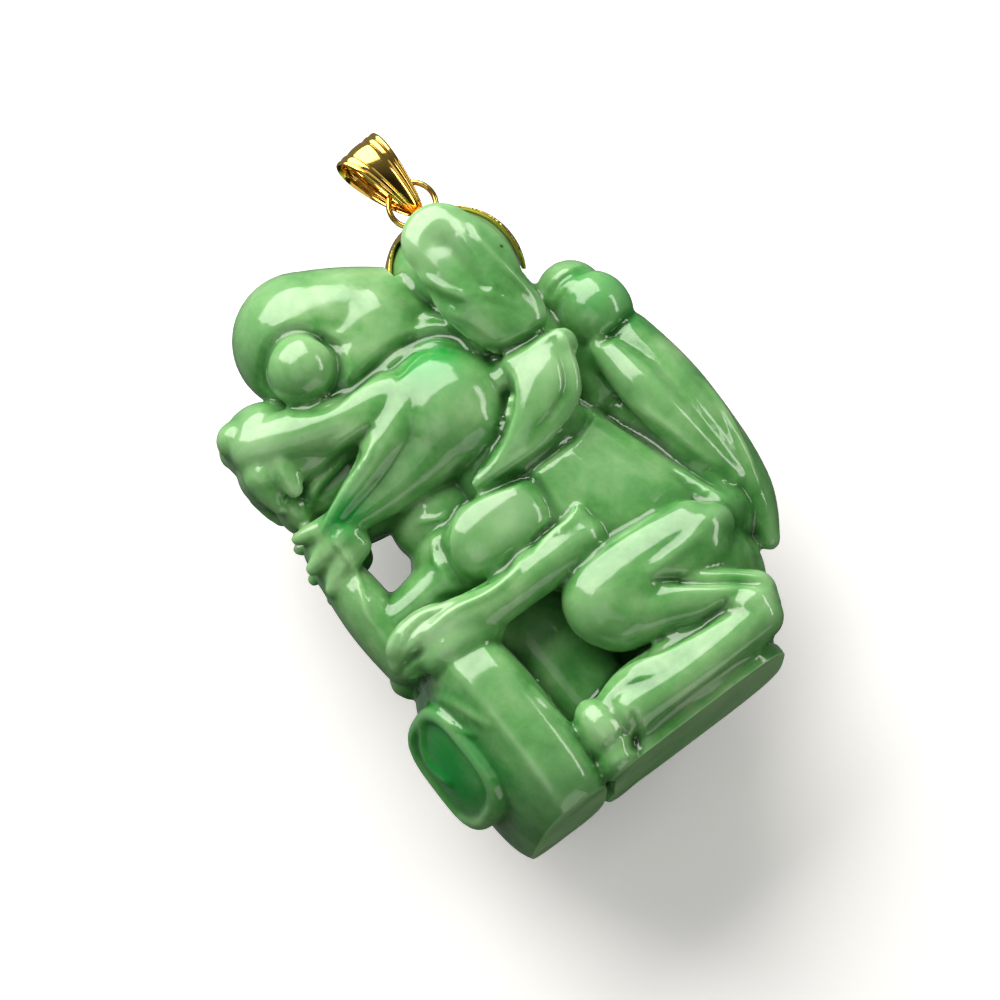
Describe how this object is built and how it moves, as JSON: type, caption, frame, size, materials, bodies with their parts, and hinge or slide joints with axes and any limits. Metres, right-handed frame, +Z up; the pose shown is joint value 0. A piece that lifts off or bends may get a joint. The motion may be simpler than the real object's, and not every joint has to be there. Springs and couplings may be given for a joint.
{
  "type": "jade pendant figurine",
  "caption": "Seated guardian beast carved in green stone, holding a treasure block, with a petalled gold cap, jump ring and fluted bail on its head.",
  "frame": {"origin": "on the flat base, below the middle of the carving's length and width", "axes": "+Z up through the seated beast, -X the way it looks, +Y its right-hand side"},
  "size_m": [0.0386, 0.0182, 0.0571],
  "materials": {
    "jade": "polished",
    "gold": "polished gold",
    "cement": "cured adhesive"
  },
  "bodies": {
    "carving": {"jade_carving": "jade", "bead_cap": "gold", "eye_peg": "gold", "peg_cement": "cement"},
    "ring": {"jump_ring": "gold"},
    "bail": {"bail": "gold"}
  },
  "joints": [
    {"name": "ring_swing", "type": "hinge", "parent": "carving", "child": "ring", "pos_m": [0.0083, 0, 0.04816], "axis": [1, 0, 0], "range_deg": [-45, 45]},
    {"name": "bail_swing", "type": "hinge", "parent": "ring", "child": "bail", "pos_m": [0.0092, 0, 0.05195], "axis": [1, 0, 0], "range_deg": [-18, 18]}
  ]
}
